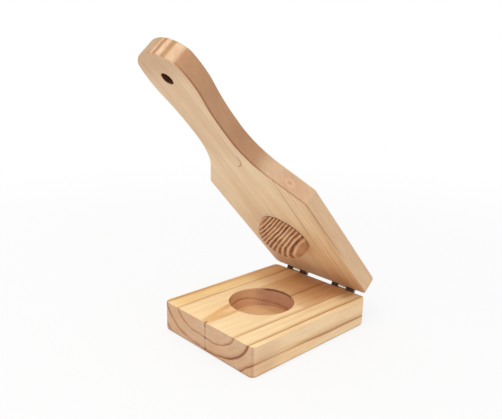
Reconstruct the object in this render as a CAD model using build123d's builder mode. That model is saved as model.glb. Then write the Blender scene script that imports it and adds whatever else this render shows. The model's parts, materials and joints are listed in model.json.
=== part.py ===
from build123d import *
from math import atan2, cos, degrees, radians, sin, sqrt
import os

# Plantain press: a recessed wooden base with a hinged lever board that carries a round boss.
# Frame: millimetres, +Z up, origin at the centre of the base's underside.
# X runs across the boards and +Y points to the hinges. The lever stands open by opening_angle.

# Boards
board_width = 100.0
base_length = 125.0
base_thickness = 24.0
lever_length = 250.0
lever_thickness = 14.5

# Base block edges
base_corner_radius = 4.0
base_top_chamfer = 0.7
base_bottom_chamfer = 1.2

# Recess that holds the plantain slice
recess_radius = 25.5
recess_depth = 16.0
recess_forward = 5.5

# Lever outline
plate_length = 118.0
plate_rear_radius = 5.0
shoulder_radius = 4.0
shoulder_slant = 39.5
flare_radius = 60.0
neck_half_width = 17.6
neck_length = 6.0
palm_half_width = 22.0
palm_from_end = 24.7
swell_hollow_share = 0.7
end_half_width = 20.0
end_radius = 25.5
end_corner_radius = 8.0
lever_outer_round = 2.5

# Hanging hole
hang_hole_radius = 4.5
hang_hole_from_end = 21.0

# Boss that flattens the slice
boss_radius = 21.5
boss_wall_height = 4.5
boss_shoulder_radius = 18.5
boss_shoulder_height = 10.5
boss_crown_radius = 10.5
boss_height = 15.0
boss_setback = 2.5

# Hinges
opening_angle = 47.5
board_gap = 0.6
hinge_length = 22.0
hinge_inset = 24.5
leaf_height = 11.0
leaf_thickness = 1.0
leaf_corner_chamfer = 0.8
barrel_radius = 2.0
barrel_standoff = 0.1
middle_knuckle_length = 8.0
knuckle_gap = 0.3
pin_radius = 1.0
pin_clearance = 0.05
pin_overhang = 0.3

# Countersunk screws, two in each leaf
screw_spacing = 13.0
screw_from_leaf_end = 4.2
screw_shank_radius = 1.2
screw_length = 9.0
screw_head_radius = 2.2
screw_seat_clearance = 0.05

# The pin axis lies behind the rear faces, midway between the two boards when they are shut.
pin_setback = barrel_radius + barrel_standoff
rear_face_y = base_length / 2
pin_point = Vector(0, rear_face_y + pin_setback, base_thickness + board_gap / 2)

# The lever's own directions: from the hinges to the handle, and out of its underside.
open_cos = cos(radians(opening_angle))
open_sin = sin(radians(opening_angle))
lever_run = Vector(0, -open_cos, open_sin)
lever_down = Vector(0, -open_sin, -open_cos)
lever_corner = pin_point + lever_run * pin_setback - lever_down * (board_gap / 2)
lever_plane = Plane(origin=lever_corner, x_dir=(1, 0, 0), z_dir=lever_down)
lever_depth_axis = Axis(lever_corner, lever_down)


def save(part, name):
    part.label = name
    export_step(part, f"parts/{name}.step")


# A leaf plane looks along the pin: its x points away from the board's rear face,
# its y points from the screws to the pin, and its origin is on the pin axis.
def base_leaf_plane(hinge_x):
    return Plane(origin=pin_point + Vector(hinge_x, 0, 0), x_dir=(0, 1, 0), z_dir=(1, 0, 0))


def lever_leaf_plane(hinge_x):
    return Plane(origin=pin_point + Vector(hinge_x, 0, 0), x_dir=-lever_run, z_dir=(-1, 0, 0))


# Each screw plane lies on the leaf's outer face, and its z points out of the screw's head.
def screw_planes(leaf_plane):
    outer_face_x = leaf_thickness - pin_setback
    row_y = screw_from_leaf_end - leaf_height
    stations = (-screw_spacing / 2, screw_spacing / 2)
    spots = [leaf_plane.from_local_coords((outer_face_x, row_y, station)) for station in stations]
    return [Plane(origin=spot, x_dir=leaf_plane.z_dir, z_dir=leaf_plane.x_dir) for spot in spots]


# Each hinge's middle stands in from the side of the board by hinge_inset.
hinge_station = board_width / 2 - hinge_inset
hinge_stations = {"left": -hinge_station, "right": hinge_station}
base_leaf_planes = {side: base_leaf_plane(x) for side, x in hinge_stations.items()}
lever_leaf_planes = {side: lever_leaf_plane(x) for side, x in hinge_stations.items()}
base_screw_planes = [spot for leaf in base_leaf_planes.values() for spot in screw_planes(leaf)]
lever_screw_planes = [spot for leaf in lever_leaf_planes.values() for spot in screw_planes(leaf)]
shank_align = (Align.CENTER, Align.CENTER, Align.MAX)

os.makedirs("parts", exist_ok=True)

# Base block: a rounded slab with a round recess and pilot holes in its rear face
recess_y = -recess_forward
with BuildPart() as base_block:
    with BuildSketch():
        RectangleRounded(board_width, base_length, base_corner_radius)
    extrude(amount=base_thickness)
    top_edges = base_block.faces().sort_by(Axis.Z)[-1].edges()
    bottom_edges = base_block.faces().sort_by(Axis.Z)[0].edges()
    chamfer(top_edges, base_top_chamfer)
    chamfer(bottom_edges, base_bottom_chamfer)
    with BuildSketch(Plane.XY.offset(base_thickness)):
        with Locations((0, recess_y)):
            Circle(recess_radius)
    extrude(amount=-recess_depth, mode=Mode.SUBTRACT)
    with Locations(*base_screw_planes):
        Cylinder(screw_shank_radius, screw_length, align=shank_align, mode=Mode.SUBTRACT)
save(base_block.part, "base_block")

# The lever's half outline runs from the plate by the slanted shoulder, the flare and the neck
# to the palm, which swells and ends in a shallow arc.
plate_half_width = board_width / 2
slant = radians(shoulder_slant)
flare_half_width = neck_half_width + flare_radius * (1 - cos(slant))
flare_station = plate_length + (plate_half_width - flare_half_width) * cos(slant) / sin(slant)
neck_station = flare_station + flare_radius * sin(slant) + neck_length
palm_station = lever_length - palm_from_end
swell_run = palm_station - neck_station
swell_rise = palm_half_width - neck_half_width
swell_angle = 2 * atan2(swell_rise, swell_run)
hollow_radius = swell_hollow_share * swell_run / sin(swell_angle)
palm_radius = (1 - swell_hollow_share) * swell_run / sin(swell_angle)
end_centre_station = lever_length - end_radius
end_corner_station = end_centre_station + sqrt(end_radius**2 - end_half_width**2)

with BuildPart() as lever_board:
    with BuildSketch(lever_plane) as lever_outline:
        with BuildLine():
            rear = Line((0, 0), (plate_half_width, 0))
            side = Line(rear @ 1, (plate_half_width, plate_length))
            shoulder = Line(side @ 1, (flare_half_width, flare_station))
            flare = JernArc(shoulder @ 1, shoulder % 1, flare_radius, -shoulder_slant)
            neck = Line(flare @ 1, (neck_half_width, neck_station))
            hollow = JernArc(neck @ 1, neck % 1, hollow_radius, -degrees(swell_angle))
            palm = JernArc(hollow @ 1, hollow % 1, palm_radius, degrees(swell_angle))
            cheek = TangentArc(palm @ 1, (end_half_width, end_corner_station), tangent=palm % 1)
            RadiusArc(cheek @ 1, (0, lever_length), -end_radius)
            mirror(about=Plane.YZ)
        make_face()
        fillet(lever_outline.vertices().group_by(Axis.Y)[1], shoulder_radius)
        fillet(lever_outline.vertices().group_by(Axis.Y)[0], plate_rear_radius)
        fillet(lever_outline.vertices().group_by(Axis.Y)[-1], end_corner_radius)
    extrude(amount=-lever_thickness)
    fillet(lever_board.faces().sort_by(lever_depth_axis)[0].edges(), lever_outer_round)
    with BuildSketch(lever_plane):
        with Locations((0, lever_length - hang_hole_from_end)):
            Circle(hang_hole_radius)
    extrude(amount=-lever_thickness, mode=Mode.SUBTRACT)
    with Locations(*lever_screw_planes):
        Cylinder(screw_shank_radius, screw_length, align=shank_align, mode=Mode.SUBTRACT)
save(lever_board.part, "lever_board")

# Boss: a turned plug that draws in above a short wall to a blunt crown, seated on the lever's underside
boss_station = rear_face_y - recess_y - boss_setback
boss_seat = lever_plane.from_local_coords((0, boss_station, 0))
with BuildPart() as press_boss:
    with BuildSketch(Plane(origin=boss_seat, x_dir=lever_plane.x_dir, z_dir=-lever_plane.y_dir)):
        with BuildLine():
            Polyline(
                (0, 0),
                (boss_radius, 0),
                (boss_radius, boss_wall_height),
                (boss_shoulder_radius, boss_shoulder_height),
                (boss_crown_radius, boss_height),
                (0, boss_height),
                close=True,
            )
        make_face()
    revolve(axis=Axis(boss_seat, lever_down))
save(press_boss.part, "press_boss")

# Hinges: on each pin the base leaf has the two outer knuckles and the lever leaf the middle one.
# A knuckle is its station along the pin and its length.
outer_knuckle_length = (hinge_length - middle_knuckle_length) / 2 - knuckle_gap
outer_knuckle_station = (hinge_length - outer_knuckle_length) / 2
middle_knuckles = [(0, middle_knuckle_length)]
outer_knuckles = [(spot, outer_knuckle_length) for spot in (-outer_knuckle_station, outer_knuckle_station)]
notch_reach = barrel_radius + knuckle_gap
leaf_reach = pin_setback + barrel_radius


def axial_plane(plane):
    return Plane(origin=plane.origin, x_dir=plane.x_dir, z_dir=-plane.y_dir)


def hinge_leaf(leaf_plane, other_knuckles):
    board_plane = Plane(
        origin=leaf_plane.from_local_coords((-pin_setback, 0, 0)),
        x_dir=-leaf_plane.z_dir,
        z_dir=leaf_plane.x_dir,
    )
    with BuildPart() as leaf:
        with BuildSketch(board_plane) as plate:
            with Locations((0, -leaf_height / 2)):
                Rectangle(hinge_length, leaf_height)
            chamfer(plate.vertices().group_by(Axis.Y)[0], leaf_corner_chamfer)
        extrude(amount=leaf_thickness)
        with BuildSketch(leaf_plane):
            Circle(barrel_radius)
        extrude(amount=hinge_length / 2, both=True)
        with BuildSketch(leaf_plane):
            Circle(pin_radius + pin_clearance)
        extrude(amount=hinge_length / 2, both=True, mode=Mode.SUBTRACT)
        with BuildSketch(board_plane):
            for station, length in other_knuckles:
                with Locations((station, 0)):
                    Rectangle(length + 2 * knuckle_gap, 2 * notch_reach)
        extrude(amount=leaf_reach, mode=Mode.SUBTRACT)
        for spot in screw_planes(leaf_plane):
            with BuildSketch(axial_plane(spot)):
                with BuildLine():
                    Polyline(
                        (0, 0),
                        (screw_head_radius + screw_seat_clearance, 0),
                        (screw_shank_radius + screw_seat_clearance, -leaf_thickness),
                        (0, -leaf_thickness),
                        close=True,
                    )
                make_face()
            revolve(axis=Axis(spot.origin, spot.z_dir), mode=Mode.SUBTRACT)
    return leaf.part


def hinge_pin(leaf_plane):
    with BuildPart() as pin:
        with BuildSketch(leaf_plane):
            Circle(pin_radius)
        extrude(amount=hinge_length / 2 + pin_overhang, both=True)
    return pin.part


def countersunk_screw(spot):
    with BuildPart() as screw:
        with BuildSketch(axial_plane(spot)):
            with BuildLine():
                Polyline(
                    (0, 0),
                    (screw_head_radius, 0),
                    (screw_shank_radius, -leaf_thickness),
                    (screw_shank_radius, -screw_length),
                    (0, -screw_length),
                    close=True,
                )
            make_face()
        revolve(axis=Axis(spot.origin, spot.z_dir))
    return screw.part


for side in hinge_stations:
    save(hinge_leaf(base_leaf_planes[side], middle_knuckles), f"base_leaf_{side}")
    save(hinge_leaf(lever_leaf_planes[side], outer_knuckles), f"lever_leaf_{side}")
    save(hinge_pin(base_leaf_planes[side]), f"hinge_pin_{side}")
    for number, spot in enumerate(screw_planes(base_leaf_planes[side]), start=1):
        save(countersunk_screw(spot), f"base_screw_{side}_{number}")
    for number, spot in enumerate(screw_planes(lever_leaf_planes[side]), start=1):
        save(countersunk_screw(spot), f"lever_screw_{side}_{number}")
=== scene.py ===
"""Plantain press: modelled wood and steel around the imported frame, in a plain studio."""

import json
import logging
import math
from dataclasses import dataclass, field
from enum import Enum

import bmesh
import bpy
from bmesh.types import BMEdge, BMesh, BMFace, BMVert
from bpy.types import Material, Node, NodeSocket, Object
from mathutils import Matrix, Vector, noise

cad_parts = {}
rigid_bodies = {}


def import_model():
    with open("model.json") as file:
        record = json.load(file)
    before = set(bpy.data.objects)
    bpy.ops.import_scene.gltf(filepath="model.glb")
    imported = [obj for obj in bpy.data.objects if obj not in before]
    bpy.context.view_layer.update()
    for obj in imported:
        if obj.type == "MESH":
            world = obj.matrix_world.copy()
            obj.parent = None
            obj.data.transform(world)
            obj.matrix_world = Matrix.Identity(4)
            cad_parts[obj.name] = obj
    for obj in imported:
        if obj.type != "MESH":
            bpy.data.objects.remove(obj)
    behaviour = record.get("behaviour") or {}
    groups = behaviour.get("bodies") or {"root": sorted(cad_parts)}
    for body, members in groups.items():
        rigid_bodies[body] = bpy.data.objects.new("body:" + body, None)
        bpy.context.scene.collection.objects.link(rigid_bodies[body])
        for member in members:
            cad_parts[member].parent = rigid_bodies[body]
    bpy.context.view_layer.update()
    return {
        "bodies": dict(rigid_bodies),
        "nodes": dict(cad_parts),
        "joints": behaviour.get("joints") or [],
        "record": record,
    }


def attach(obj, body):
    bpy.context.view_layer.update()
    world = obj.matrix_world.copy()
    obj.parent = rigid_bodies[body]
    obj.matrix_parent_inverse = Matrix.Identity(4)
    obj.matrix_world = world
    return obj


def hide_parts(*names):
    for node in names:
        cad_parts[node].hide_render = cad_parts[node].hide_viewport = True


LOG = logging.getLogger("press")

MM = 0.001
TINY = 1e-4
SEAM = 1e-3
SHARP = math.radians(40)
X, Y, Z = range(3)
GROOVE = "groove_depth"

Colour = tuple[float, float, float]
Stretch = tuple[float, float, float]


class Body(Enum):
    """The two bodies that the hinge joins."""

    BASE = "base"
    LEVER = "lever"


class Slot(Enum):
    """The record's material slots, named for the modelled pieces."""

    BASE_WOOD = "base_wood"
    LEVER_WOOD = "lever_wood"
    BOSS_WOOD = "boss_wood"
    SCREW_STEEL = "screw_steel"


def linear(red: int, green: int, blue: int) -> Colour:
    """Turns a display colour into the linear values that shaders take.

    Args:
        red: Red from 0 to 255.
        green: Green from 0 to 255.
        blue: Blue from 0 to 255.

    Returns:
        The three linear values.
    """

    def one(part: int) -> float:
        """Linear value of one channel."""
        share = part / 255
        return share / 12.92 if share <= 0.04045 else ((share + 0.055) / 1.055) ** 2.4

    return one(red), one(green), one(blue)


# ---- Shader writing ----


class Reading:
    """A shader socket with a number on it, which Python's operators carry on with Math nodes."""

    def __init__(self, sheet: "ShaderSheet", socket: NodeSocket) -> None:
        """Keeps the socket and the sheet that it's on."""
        self.sheet = sheet
        self.socket = socket

    def maths(self, operation: str, *others: "float | Reading") -> "Reading":
        """Adds a Math node with this reading first."""
        return self.sheet.maths(operation, self, *others)

    def __add__(self, other: "float | Reading") -> "Reading":
        """Sum."""
        return self.maths("ADD", other)

    def __radd__(self, other: float) -> "Reading":
        """Sum with a number in front."""
        return self.maths("ADD", other)

    def __sub__(self, other: "float | Reading") -> "Reading":
        """Difference."""
        return self.maths("SUBTRACT", other)

    def __rsub__(self, other: float) -> "Reading":
        """Difference with a number in front."""
        return self.sheet.maths("SUBTRACT", other, self)

    def __mul__(self, other: "float | Reading") -> "Reading":
        """Product."""
        return self.maths("MULTIPLY", other)

    def __rmul__(self, other: float) -> "Reading":
        """Product with a number in front."""
        return self.maths("MULTIPLY", other)

    def __truediv__(self, other: "float | Reading") -> "Reading":
        """Quotient."""
        return self.maths("DIVIDE", other)

    def __abs__(self) -> "Reading":
        """Size without its sign."""
        return self.maths("ABSOLUTE")

    def clamped(self) -> "Reading":
        """The reading held between 0 and 1."""
        return self.sheet.maths("ADD", self, 0.0, clamp=True)

    def step(self, low: float, high: float) -> "Reading":
        """Rises smoothly from 0 at low to 1 at high, or falls where high is the lower one."""
        made = self.sheet.add(
            "ShaderNodeMapRange",
            {"interpolation_type": "SMOOTHSTEP"},
            {"Value": self, "From Min": low, "From Max": high},
        )
        return Reading(self.sheet, made.outputs["Result"])

    def within(self, low: float, high: float, edge: float) -> "Reading":
        """How far the reading is between two limits, from 0 to 1, with soft edges."""
        return self.step(low - edge, low + edge) * self.step(high + edge, high - edge)


Place = tuple[Reading, Reading, Reading]


def hypot(across: Reading, along: Reading) -> Reading:
    """Length of the vector that has these two parts."""
    return (across * across + along * along).maths("SQRT")


class ShaderSheet:
    """A material's node tree, with the few ways in which this script adds to it."""

    def __init__(self, owner: Material | bpy.types.World) -> None:
        """Opens an empty tree.

        Args:
            owner: What the tree belongs to.
        """
        owner.use_nodes = True
        self.owner = owner
        self.tree = owner.node_tree
        self.tree.nodes.clear()

    @classmethod
    def of_material(cls, name: str) -> "ShaderSheet":
        """Opens an empty sheet for a new material."""
        return cls(bpy.data.materials.new(name))

    def add(self, kind: str, settings: dict | None = None, sockets: dict | None = None) -> Node:
        """Adds a node, sets it, then fills its sockets.

        Args:
            kind: The node's type.
            settings: Its own properties; "stops" are a ramp's positions and greys.
            sockets: Values or links for its inputs, by name or number.

        Returns:
            The node.
        """
        node = self.tree.nodes.new(kind)
        for name, value in (settings or {}).items():
            if name == "stops":
                self._set_stops(node.color_ramp, value)
            else:
                setattr(node, name, value)
        for name, value in (sockets or {}).items():
            target = node.inputs[name]
            if isinstance(value, Reading):
                value = value.socket
            if isinstance(value, NodeSocket):
                self.tree.links.new(value, target)
            elif target.type == "RGBA":
                target.default_value = (*value, 1.0)
            else:
                target.default_value = value
        return node

    @staticmethod
    def _set_stops(ramp: bpy.types.ColorRamp, stops: list[tuple[float, float]]) -> None:
        """Gives a ramp its stops.

        Args:
            ramp: The ramp.
            stops: Positions and greys, in rising order of place.
        """
        while len(ramp.elements) > 1:
            ramp.elements.remove(ramp.elements[-1])
        for number, (place, grey) in enumerate(stops):
            stop = ramp.elements[0] if number == 0 else ramp.elements.new(place)
            stop.position = place
            stop.color = (grey, grey, grey, 1.0)

    def maths(self, operation: str, *values: "float | Reading", clamp: bool = False) -> Reading:
        """Reads a Math node of the values; a clamped one stays between 0 and 1."""
        settings = {"operation": operation, "use_clamp": clamp}
        node = self.add("ShaderNodeMath", settings, dict(enumerate(values)))
        return Reading(self, node.outputs[0])

    def vector(self, operation: str, first: object, second: object) -> NodeSocket:
        """The vector that a Vector Math node makes of two vectors."""
        node = self.add("ShaderNodeVectorMath", {"operation": operation}, {0: first, 1: second})
        return node.outputs["Vector"]

    def dot(self, place: object, along: Vector) -> Reading:
        """How far a place lies along a direction."""
        node = self.add("ShaderNodeVectorMath", {"operation": "DOT_PRODUCT"}, {0: place, 1: along})
        return Reading(self, node.outputs["Value"])

    def split(self, vector: object) -> Place:
        """The three numbers of a vector."""
        x, y, z = self.add("ShaderNodeSeparateXYZ", None, {0: vector}).outputs
        return Reading(self, x), Reading(self, y), Reading(self, z)

    def blend(
        self, share: "float | Reading", first: object, second: object, mode: str = "MIX"
    ) -> NodeSocket:
        """Mixes two colours.

        Args:
            share: How much of the second colour there is.
            first: First colour or link.
            second: Second colour or link.
            mode: The Mix node's blend type.

        Returns:
            The mixed colour's socket.
        """
        node = self.add(
            "ShaderNodeMix",
            {"data_type": "RGBA", "blend_type": mode, "clamp_factor": True},
            {"Factor": share, 6: first, 7: second},
        )
        return node.outputs[2]

    def tinted(self, share: Reading, colour: object, tint: Colour) -> NodeSocket:
        """Multiplies a share of a colour by a tint."""
        return self.blend(share, colour, self.blend(1.0, colour, tint, "MULTIPLY"))

    def shaded(self, colour: object, share: Reading) -> NodeSocket:
        """Multiplies a colour by a grey, where 1 leaves it as it is."""
        grey = self.add("ShaderNodeCombineColor", None, {0: share, 1: share, 2: share})
        return self.blend(1.0, colour, grey.outputs[0], "MULTIPLY")

    def ramp(self, place: Reading, stops: list[tuple[float, float]]) -> Reading:
        """The grey of a ramp at a place from 0 to 1."""
        node = self.add("ShaderNodeValToRGB", {"stops": stops}, {"Fac": place})
        return Reading(self, node.outputs["Color"])

    def noise_node(self, place: object, stretch: Stretch, detail: float, rough: float) -> Node:
        """Adds a noise that is stretched along the three axes.

        Args:
            place: The coordinates.
            stretch: Size of the noise along each axis, in the units of the coordinates.
            detail: The noise's octaves.
            rough: How strong its finer octaves are.

        Returns:
            The noise node.
        """
        return self.add(
            "ShaderNodeTexNoise",
            {"noise_dimensions": "3D"},
            {
                "Vector": self.vector("DIVIDE", place, stretch),
                "Scale": 1.0,
                "Detail": detail,
                "Roughness": rough,
            },
        )

    def grain(
        self, place: object, stretch: Stretch, detail: float = 2.0, rough: float = 0.5
    ) -> Reading:
        """The grey of a stretched noise."""
        return Reading(self, self.noise_node(place, stretch, detail, rough).outputs["Fac"])

    def nudged(self, place: object, amount: float, stretch: Stretch) -> NodeSocket:
        """Moves a place about at random, so that what is drawn there wanders.

        Args:
            place: The coordinates.
            amount: How far apart the moved places can lie.
            stretch: Over what distances the moves change, along each axis.

        Returns:
            The moved coordinates.
        """
        found = self.noise_node(place, stretch, 2.0, 0.5).outputs["Color"]
        middle = self.vector("SUBTRACT", found, (0.5, 0.5, 0.5))
        return self.vector("ADD", place, self.vector("MULTIPLY", middle, (amount, amount, amount)))

    def bumped(self, height: Reading, strength: float, depth: float) -> NodeSocket:
        """The normal that a Bump node makes of a height; its depth is in metres."""
        sockets = {"Strength": strength, "Distance": depth, "Height": height}
        return self.add("ShaderNodeBump", None, sockets).outputs["Normal"]

    def local_place(self, placing: Matrix) -> NodeSocket:
        """Object coordinates in a piece's own axes, in millimetres.

        Args:
            placing: The piece's axes and origin in the frame, in metres.

        Returns:
            The coordinates' socket.
        """
        found = self.add("ShaderNodeTexCoord")
        turned = self.add(
            "ShaderNodeMapping",
            {"vector_type": "TEXTURE"},
            {
                "Vector": found.outputs["Object"],
                "Location": placing.to_translation(),
                "Rotation": placing.to_euler(),
                "Scale": (MM, MM, MM),
            },
        )
        return turned.outputs["Vector"]

    def finish(self, **sockets: object) -> Material:
        """Closes the material with one Principled shader.

        Args:
            sockets: The shader's inputs, with underscores for spaces.

        Returns:
            The material.
        """
        shader = self.add(
            "ShaderNodeBsdfPrincipled",
            None,
            {name.replace("_", " "): value for name, value in sockets.items()},
        )
        self.add("ShaderNodeOutputMaterial", None, {"Surface": shader.outputs["BSDF"]})
        return self.owner


# ---- Finishes ----


@dataclass(frozen=True)
class RingLine:
    """One strong growth ring.

    Attributes:
        distance: How far from the pith it ends, in mm.
        width: How wide its dark late wood is, in mm.
        strength: How dark it is, from 0 to 1.
    """

    distance: float
    width: float
    strength: float


@dataclass
class Spot:
    """A point of a surface, in the axes of its piece.

    Attributes:
        place: Its coordinates in mm.
        facing: The parts of its normal.
    """

    place: Place
    facing: Place


@dataclass(frozen=True)
class Pith:
    """The middle of the tree beside a piece, running about along y, in mm.

    Attributes:
        x: Its x where y is 0.
        z: Its z where y is 0.
        lean_x: How far it leans in x for each mm of y.
        lean_z: How far it leans in z for each mm of y.
        flatness: How much wider than high the rings are.
        spread: How far it reaches to either side, as a flat strip.
    """

    x: float
    z: float
    lean_x: float = 0.0
    lean_z: float = 0.0
    flatness: float = 1.0
    spread: float = 0.0

    def distance(self, place: Place) -> Reading:
        """How far a place is from it.

        Args:
            place: The place in the piece's axes.

        Returns:
            The distance in mm.
        """
        x, y, z = place
        across = x - self.x - y * self.lean_x
        if self.spread:
            across = (abs(across) - self.spread).maths("MAXIMUM", 0.0)
        return hypot(across / self.flatness, z - self.z - y * self.lean_z)


@dataclass(frozen=True)
class Slab:
    """All that lies between two planes across an axis, in mm, with soft edges."""

    axis: int
    low: float
    high: float
    edge: float = 0.4

    def share(self, spot: Spot) -> Reading:
        """How far a spot is inside, from 0 to 1."""
        return spot.place[self.axis].within(self.low, self.high, self.edge)


@dataclass(frozen=True)
class Ring:
    """All that lies between two ellipses round an axis, in mm, with soft edges.

    Attributes:
        axes: The two axes across it.
        centre: Its middle on those axes.
        outer: Radius of the outer ellipse.
        inner: Radius of the inner ellipse; below 0 there's none.
        edge: Half the width of its edges.
        squash: How much lower than wide it is.
    """

    axes: tuple[int, int]
    centre: tuple[float, float]
    outer: float
    inner: float = -9.0
    edge: float = 0.4
    squash: float = 1.0

    def share(self, spot: Spot) -> Reading:
        """How far a spot is inside.

        Args:
            spot: The spot.

        Returns:
            From 0 to 1.
        """
        across = spot.place[self.axes[0]] - self.centre[0]
        along = (spot.place[self.axes[1]] - self.centre[1]) / self.squash
        return hypot(across, along).within(self.inner, self.outer, self.edge)


@dataclass(frozen=True)
class Core:
    """All that lies between two distances from the pith, in mm, with soft edges."""

    pith: Pith
    outer: float
    inner: float = -9.0
    edge: float = 0.5

    def share(self, spot: Spot) -> Reading:
        """How far a spot is inside, from 0 to 1."""
        return self.pith.distance(spot.place).within(self.inner, self.outer, self.edge)


@dataclass(frozen=True)
class Looking:
    """All faces that look along an axis, either way."""

    axis: int
    start: float = 0.35
    full: float = 0.85

    def share(self, spot: Spot) -> Reading:
        """How squarely a spot looks that way, from 0 to 1."""
        return abs(spot.facing[self.axis]).step(self.start, self.full)


SIDES = Looking(X)
ENDS = Looking(Y)
FLATS = Looking(Z)


@dataclass(frozen=True)
class Mark:
    """A patch of another tint, of the wood itself or of painted shade.

    Attributes:
        tint: What it multiplies the colour by.
        limits: What it lies within.
    """

    tint: Colour
    limits: tuple[Slab | Ring | Core | Looking, ...]

    def over(self, sheet: ShaderSheet, colour: object, spot: Spot) -> NodeSocket:
        """Lays the mark over a colour.

        Args:
            sheet: The material's sheet.
            colour: The colour's link.
            spot: Where the surface is.

        Returns:
            The marked colour.
        """
        share = self.limits[0].share(spot)
        for limit in self.limits[1:]:
            share = share * limit.share(spot)
        return sheet.tinted(share, colour, self.tint)


# Sizes of the wood's patterns across, along and through a board, in mm.
SWAY = (34.0, 150.0, 30.0)
RIPPLE = (7.0, 60.0, 7.0)
JITTER = (2.5, 6.0, 2.5)
RING_PATCHES = (14.0, 70.0, 14.0)
FINE_PATCHES = (9.0, 240.0, 9.0)
FLUSHES = (16.0, 130.0, 16.0)
CLOUDS = (5.0, 22.0, 5.0)
FIBRES = (0.55, 26.0, 0.55)

# Where the dark of a strong ring changes, in its widths from its end, and how dark it is there.
LINE_PROFILE = ((-2.4, 0.0), (-1.0, 0.3), (-0.35, 1.0), (0.0, 0.9), (0.25, 0.0))
FINE_PROFILE = [(0.0, 0.05), (0.45, 0.25), (0.82, 0.9), (0.93, 1.0), (1.0, 0.05)]


@dataclass(frozen=True)
class SolidWood:
    """Sawn softwood whose growth rings run through the whole piece.

    The piece's axes are x across, y along the grain and z through the board, in mm.

    Attributes:
        name: The material's name.
        early: Colour of the soft early wood.
        late: Colour of the hard late wood.
        flush: Colour of its warmer patches.
        end_tint: What the end grain is multiplied by.
        pith: Where the rings start.
        lines: Its strong rings.
        reach: The longest distance from the pith at which a strong ring can lie, in mm.
        fine_pitch: How far apart the fine rings are, in mm.
        fine_strength: How dark the fine rings are.
        wander: How far the rings wander, in mm.
        flush_share: How strong the warmer patches are.
        fibre_share: How much single fibres lighten or darken it.
        cloud_share: How much broader patches lighten or darken it.
        line_on_face: How dark the strong rings are off the ends, where 1 is as dark as there.
        side_calm: How much of the rings is lost on the sides.
        marks: Its other tints, from the first laid to the last.
        seed: Where in the noise it's cut from, in mm.
    """

    name: str
    early: Colour
    late: Colour
    flush: Colour
    end_tint: Colour
    pith: Pith
    lines: tuple[RingLine, ...]
    reach: float
    fine_pitch: float
    fine_strength: float
    wander: float = 1.2
    flush_share: float = 0.5
    fibre_share: float = 0.16
    cloud_share: float = 0.16
    line_on_face: float = 0.8
    side_calm: float = 0.0
    marks: tuple[Mark, ...] = ()
    seed: float = 0.0

    def field(self, sheet: ShaderSheet, place: NodeSocket) -> Reading:
        """Distance from the pith in the wavy tree that the piece was cut from.

        Args:
            sheet: The material's sheet.
            place: The piece's own coordinates.

        Returns:
            The distance in mm.
        """
        shift = (self.seed, self.seed * 3.0, 0.0)
        moved = sheet.vector("ADD", place, shift)
        swayed = sheet.nudged(moved, self.wander * 5.0, SWAY)
        rippled = sheet.nudged(swayed, self.wander * 0.9, RIPPLE)
        return self.pith.distance(sheet.split(sheet.vector("SUBTRACT", rippled, shift)))

    def line_stops(self) -> list[tuple[float, float]]:
        """Draws the strong rings along the distance from the pith.

        Returns:
            Positions and greys.
        """
        stops = [(0.0, 0.0)]
        for line in self.lines:
            end = line.distance / self.reach
            width = line.width / self.reach
            stops += [(end + width * at, line.strength * dark) for at, dark in LINE_PROFILE]
        return [(min(max(place, 0.0), 1.0), grey) for place, grey in stops]

    def lateness(self, sheet: ShaderSheet, place: NodeSocket, spot: Spot) -> Reading:
        """How much dark late wood there is.

        Args:
            sheet: The material's sheet.
            place: The piece's own coordinates.
            spot: The same in parts, with the normal.

        Returns:
            Its share, from 0 to 1.
        """
        distance = self.field(sheet, place)
        patches = sheet.grain(place, RING_PATCHES).step(0.3, 0.62)
        strong = sheet.ramp(distance / self.reach, self.line_stops()) * (patches * 0.45 + 0.55)
        strong = strong * (ENDS.share(spot) * (1.0 - self.line_on_face) + self.line_on_face)
        fine = sheet.ramp((distance / self.fine_pitch).maths("FRACT"), FINE_PROFILE)
        uneven = sheet.grain(place, FINE_PATCHES).step(0.32, 0.68)
        calm = 1.0 - SIDES.share(spot) * self.side_calm
        return ((strong + fine * uneven * self.fine_strength) * calm).clamped()

    def build(self, placing: Matrix) -> Material:
        """Makes the material for a piece.

        Args:
            placing: The piece's axes and origin, in metres.

        Returns:
            The material.
        """
        sheet = ShaderSheet.of_material(self.name)
        place = sheet.local_place(placing)
        normal = sheet.add("ShaderNodeTexCoord").outputs["Normal"]
        facing = tuple(sheet.dot(normal, placing.col[axis].to_3d()) for axis in (X, Y, Z))
        spot = Spot(sheet.split(sheet.nudged(place, 0.5, JITTER)), facing)
        lateness = self.lateness(sheet, place, spot)
        fibres = sheet.grain(place, FIBRES, 3.0, 0.65)
        flushes = sheet.grain(place, FLUSHES, 3.0, 0.6)
        clouds = sheet.grain(place, CLOUDS, 3.0, 0.6)
        colour = sheet.blend(flushes.step(0.35, 0.75) * self.flush_share, self.early, self.flush)
        colour = sheet.blend(lateness, colour, self.late)
        light = (fibres - 0.5) * (2.0 * self.fibre_share) + (clouds - 0.5) * self.cloud_share
        colour = sheet.shaded(colour, light + 1.0)
        colour = sheet.tinted(ENDS.share(spot), colour, self.end_tint)
        for mark in self.marks:
            colour = mark.over(sheet, colour, spot)
        return sheet.finish(
            Base_Color=colour,
            Roughness=0.62 - lateness * 0.1 + (fibres - 0.5) * 0.2,
            Specular_IOR_Level=0.32,
            Normal=sheet.bumped(fibres * 0.6 - lateness * 0.25, 0.35, 0.12 * MM),
        )


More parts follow.
